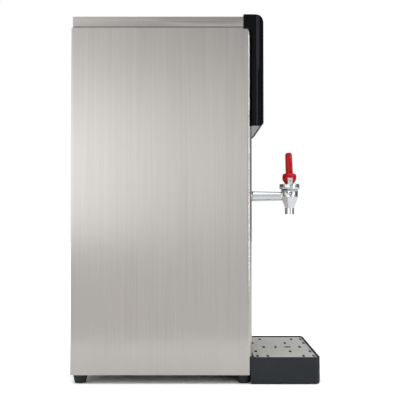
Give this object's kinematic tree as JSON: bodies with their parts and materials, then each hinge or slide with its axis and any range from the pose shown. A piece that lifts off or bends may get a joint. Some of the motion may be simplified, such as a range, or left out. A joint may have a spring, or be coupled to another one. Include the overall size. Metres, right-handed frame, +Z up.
{
  "type": "hot water urn",
  "caption": "Countertop hot water urn: upright brushed steel case on rubber feet, gloss black front moulding, lever tap over a slide-out drip tray with a lift-out grid.",
  "frame": {"origin": "on the floor, in the middle of the whole object's footprint", "axes": "+Z up, -Y the front with the tap and tray, +X the user's right"},
  "size_m": [0.215, 0.42, 0.6],
  "materials": {
    "brushed_steel": "vertical brushed, satin",
    "case_steel": "plain mill finish",
    "gloss_black": "high gloss",
    "smoked_window": "high gloss",
    "lamp": "clear lens",
    "key": "satin",
    "tray_plastic": "fine texture",
    "grid_steel": "satin",
    "chrome": "polished",
    "tap_red": "gloss",
    "brass": "machined",
    "rubber": "matt",
    "silicone": "matt",
    "tank_steel": "satin",
    "insulation": "soft fibre",
    "circuit": "lacquered",
    "white_plastic": "plain",
    "black_plastic": "plain",
    "screw_steel": "plain"
  },
  "bodies": {
    "root": {"body_shell": "brushed_steel", "rear_panel": "case_steel", "base_plate": "case_steel", "lid": "brushed_steel", "lid_gasket": "rubber", "fascia": "gloss_black", "display_window": "smoked_window", "indicator_lights": "lamp", "display_board": "circuit", "display_posts": "black_plastic", "foot_front_left": "rubber", "foot_front_right": "rubber", "foot_rear_left": "rubber", "foot_rear_right": "rubber", "foot_nuts": "screw_steel", "tap_body": "chrome", "shank_washer": "chrome", "shank_nut": "brass", "tap_bonnet": "chrome", "tap_spring": "screw_steel", "tank": "tank_steel", "tank_seal": "silicone", "tank_lid": "tank_steel", "tank_jacket": "insulation", "tank_shelf": "case_steel", "heating_element": "tank_steel", "element_terminals": "brass", "level_probes": "tank_steel", "temperature_probe": "tank_steel", "thermal_cutout": "black_plastic", "feed_pipe": "tank_steel", "drain_pipe": "tank_steel", "drain_plug": "brass", "overflow_pipe": "tank_steel", "water_inlet": "brass", "inlet_nut": "brass", "inlet_valve": "white_plastic", "valve_coil": "black_plastic", "control_board": "circuit", "board_standoffs": "white_plastic", "terminal_block": "white_plastic", "earth_stud": "brass", "power_inlet": "black_plastic", "inlet_blades": "brass", "rear_screws": "screw_steel", "lid_screws": "screw_steel", "fascia_screws": "screw_steel"},
    "tray": {"drip_tray": "tray_plastic"},
    "grid": {"drip_grid": "grid_steel"},
    "stem": {"tap_stem": "chrome", "seat_cup": "silicone"},
    "handle": {"tap_handle": "tap_red", "handle_bushes": "chrome", "handle_pin": "brass"},
    "button": {"power_button": "key"}
  },
  "joints": [
    {"name": "tray_slide", "type": "slide", "parent": "root", "child": "tray", "axis": [0, -1, 0], "range_m": [0, 0.05]},
    {"name": "grid_lift", "type": "slide", "parent": "tray", "child": "grid", "axis": [0, 0, 1], "range_m": [0, 0.03]},
    {"name": "stem_lift", "type": "slide", "parent": "root", "child": "stem", "axis": [0, 0, 1], "range_m": [0, 0.004], "deforming": ["tap_spring"]},
    {"name": "handle_tilt", "type": "hinge", "parent": "stem", "child": "handle", "pos_m": [0, -0.1736, 0.3336], "axis": [1, 0, 0], "range_deg": [0, 45], "stiffness_Nm_per_rad": 0.05, "springref_deg": -11.46},
    {"name": "button_press", "type": "slide", "parent": "root", "child": "button", "axis": [0, 1, 0], "range_m": [0, 0.0015], "stiffness_N_per_m": 400, "springref_m": -0.0005}
  ],
  "couplings": [
    {"joint": "stem_lift", "follows": "handle_tilt", "m_per_rad": 0.005093}
  ]
}
